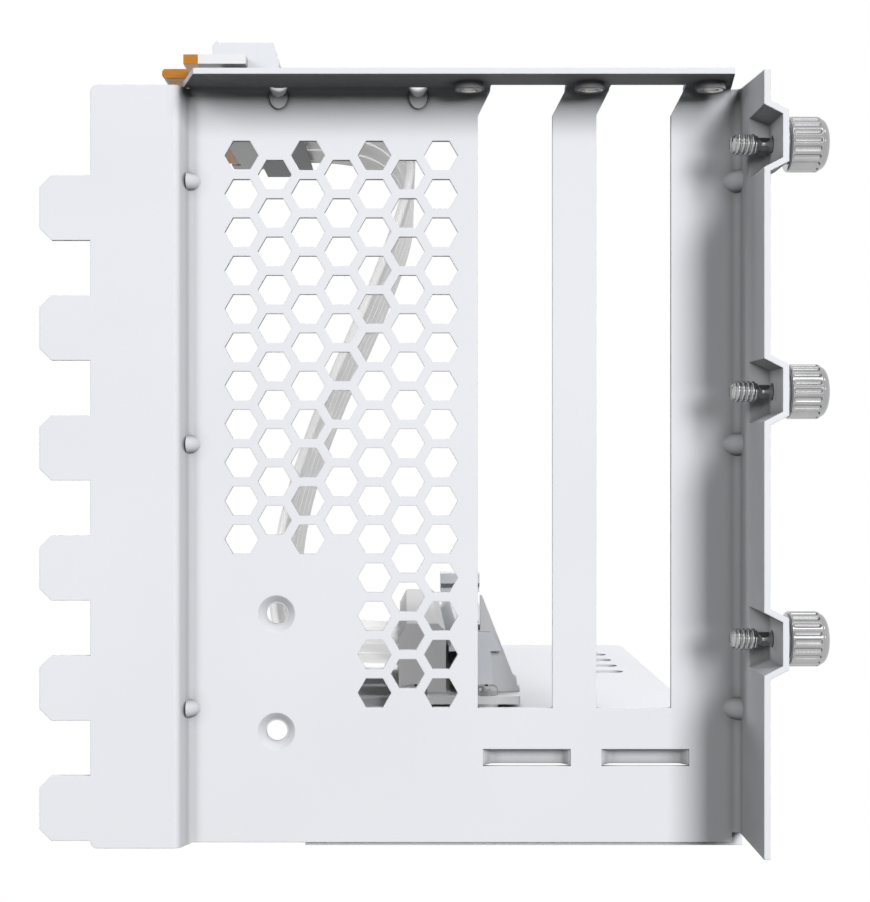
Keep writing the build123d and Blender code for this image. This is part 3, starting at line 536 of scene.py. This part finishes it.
# A strip's section is its width by its thickness, with a round core under each ridge: the half thickness at
# a place across follows the core's half circle, by the valley's share, and the two edges close in a curve.
# The section is carried along the line with its width along y and its thickness square to the line, side on.
# The columns run so that the faces point outward.
def ribbonPoints(line, settings):
    half, rounding = settings["width"] / 2, settings["rounding"]
    samples = settings["cores"] * settings["perCore"]
    across = -half * np.cos(np.linspace(0, math.pi, samples + 1))
    core = settings["width"] / settings["cores"]
    fromCore = np.abs((across + half) % core - core / 2) / (core / 2)
    roundness = np.sqrt(np.clip(1 - fromCore ** 2, 0, 1))
    rise = settings["thickness"] / 2 * (1 - settings["valley"] * (1 - roundness))
    intoEdge = np.clip(np.abs(across) - (half - rounding), 0, None) / rounding
    rise = rise * np.sqrt(np.clip(1 - intoEdge ** 2, 0, 1))
    wide = np.concatenate([across, across[-2:0:-1]])
    thick = np.concatenate([rise, -rise[-2:0:-1]])
    tangent = np.gradient(line, axis=0)[:, [0, 2]]
    tangent /= np.linalg.norm(tangent, axis=1, keepdims=True)
    normal = np.stack([-tangent[:, 1], np.zeros(len(line)), tangent[:, 0]], -1)
    side = np.array([0, 1, 0])
    spread = line[:, None, :] + (wide * mm)[None, :, None] * side
    points = spread + (thick * mm)[None, :, None] * normal[:, None, :]
    return points[:, ::-1]


print("ribbons")
strips = []
for number in range(ribbon["count"]):
    line = splinePoints("ribbonLine", ribbonControl(ribbon, number), ribbon)
    piece = ringMesh("ribbed_strip_" + str(number + 1), ribbonPoints(line, ribbon), materials["ribbon"])
    strips.append(piece)
    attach(piece, "bracket")
    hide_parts("ribbon_" + str(number + 1))

# camera: square on to the panel, about 280 mm in front of it; places in m, focal length and frame in pixels
camera = {
    "x": 0.046, "z": 0.0018, "back": 0.2764, "nearest": 0.01, "sensor": 36,
    "focal": 1634, "width": 870, "height": 902, "axisX": 406, "axisY": 456,
}


def addCamera(settings):
    data = bpy.data.cameras.new("camera")
    data.sensor_width = settings["sensor"]
    data.lens = settings["focal"] * settings["sensor"] / settings["height"]
    data.shift_x = (settings["width"] / 2 - settings["axisX"]) / settings["height"]
    data.shift_y = (settings["axisY"] - settings["height"] / 2) / settings["height"]
    data.clip_start = settings["nearest"]
    obj = bpy.data.objects.new("camera", data)
    obj.location = (settings["x"], -settings["back"], settings["z"])
    obj.rotation_euler = (math.pi / 2, 0, 0)
    scene.collection.objects.link(obj)
    scene.camera = obj


# Lights, in m and W: a tall soft key from the right front, a weaker fill from the left front, a soft light
# from above, a low one from the left behind, one for the cable, and two dim strips that only reflections
# show. The other lamps only light, as in reflections they would burn out the bright metal.
lights = {
    "key": {"at": (1.09, -2.2, 0.90), "wide": 0.72, "tall": 1.3, "power": 63},
    "fill": {"at": (-1.30, -1.85, 0.84), "wide": 0.9, "tall": 1.3, "power": 19},
    "above": {"at": (0.06, 0.80, 2.0), "wide": 1.2, "tall": 1.0, "power": 37},
    "behind": {"at": (-1.60, 0.95, 0.12), "wide": 0.8, "tall": 0.35, "power": 10},
    "cable": {"at": (0.20, -1.50, -0.02), "wide": 0.8, "tall": 0.6, "power": 21},
    "shineHigh": {"at": (0.30, -0.62, 0.80), "wide": 0.9, "tall": 0.20, "power": 1.7, "reflected": True},
    "shineLow": {"at": (0.32, -0.95, 0.20), "wide": 0.9, "tall": 0.08, "power": 0.7, "reflected": True},
}
aim = Vector((0.045, 0.03, 0.0))  # all lamps point here
cableGroup = bpy.data.collections.new("cableGroup")  # all that the cable light reaches, through the vents


def addLight(name, settings):
    data = bpy.data.lights.new(name, "AREA")
    data.shape = "RECTANGLE"
    data.size = settings["wide"]
    data.size_y = settings["tall"]
    data.energy = settings["power"]
    obj = bpy.data.objects.new(name, data)
    obj.location = settings["at"]
    obj.rotation_euler = (aim - Vector(settings["at"])).to_track_quat("-Z", "Y").to_euler()
    obj.visible_glossy = settings.get("reflected", False)
    obj.visible_diffuse = not settings.get("reflected", False)
    if name == "cable":
        data.use_shadow = False
        obj.light_linking.receiver_collection = cableGroup
    scene.collection.objects.link(obj)


print("camera and lights")
addCamera(camera)
for name, settings in lights.items():
    addLight(name, settings)
for strip in strips:
    cableGroup.objects.link(strip)

# the world lights little by itself, and the floor, just under the object, sends little light back up
worldLevel = 0.012
ground = {"below": 0.0002, "half": 3.0, "colour": (0.03, 0.03, 0.03), "roughness": 0.9}


# Rays from the camera and rays that metal or glass sends on see a white background, and the light that
# falls on the object is left as it is.
def whiteBackground(nodes, links, plain, output, kind):
    paths = nodes.new("ShaderNodeLightPath")
    seen = paths.outputs["Is Camera Ray"]
    for sentOn in ("Is Glossy Ray", "Is Transmission Ray"):
        seen = calculate(nodes, links, seen, "MAXIMUM", paths.outputs[sentOn])
    white = nodes.new(kind)
    white.inputs["Color"].default_value = (1, 1, 1, 1)
    white.inputs["Strength"].default_value = 1.0
    mix = nodes.new("ShaderNodeMixShader")
    links.new(seen, mix.inputs[0])
    links.new(plain, mix.inputs[1])
    links.new(white.outputs[0], mix.inputs[2])
    links.new(mix.outputs[0], output)


def addWorld():
    world = bpy.data.worlds.new("world")
    world.use_nodes = True
    nodes, links = world.node_tree.nodes, world.node_tree.links
    plain = nodes["Background"]
    plain.inputs["Color"].default_value = (1, 1, 1, 1)
    plain.inputs["Strength"].default_value = worldLevel
    output = nodes["World Output"].inputs["Surface"]
    whiteBackground(nodes, links, plain.outputs[0], output, "ShaderNodeBackground")
    scene.world = world


def addFloor(settings):
    low, half = cadBox[0][2] - settings["below"], settings["half"]
    mesh = bpy.data.meshes.new("floor")
    square = [(-half, -half, low), (half, -half, low), (half, half, low), (-half, half, low)]
    mesh.from_pydata(square, [], [(0, 1, 2, 3)])
    floor = bpy.data.objects.new("floor", mesh)
    scene.collection.objects.link(floor)
    mat, nodes, links, shader = newMaterial("paleFloor")
    shader.inputs["Base Color"].default_value = (*settings["colour"], 1)
    shader.inputs["Roughness"].default_value = settings["roughness"]
    output = nodes["Material Output"].inputs["Surface"]
    whiteBackground(nodes, links, shader.outputs[0], output, "ShaderNodeEmission")
    mesh.materials.append(mat)


print("world and floor")
addWorld()
addFloor(ground)
scene.view_settings.view_transform = "Standard"
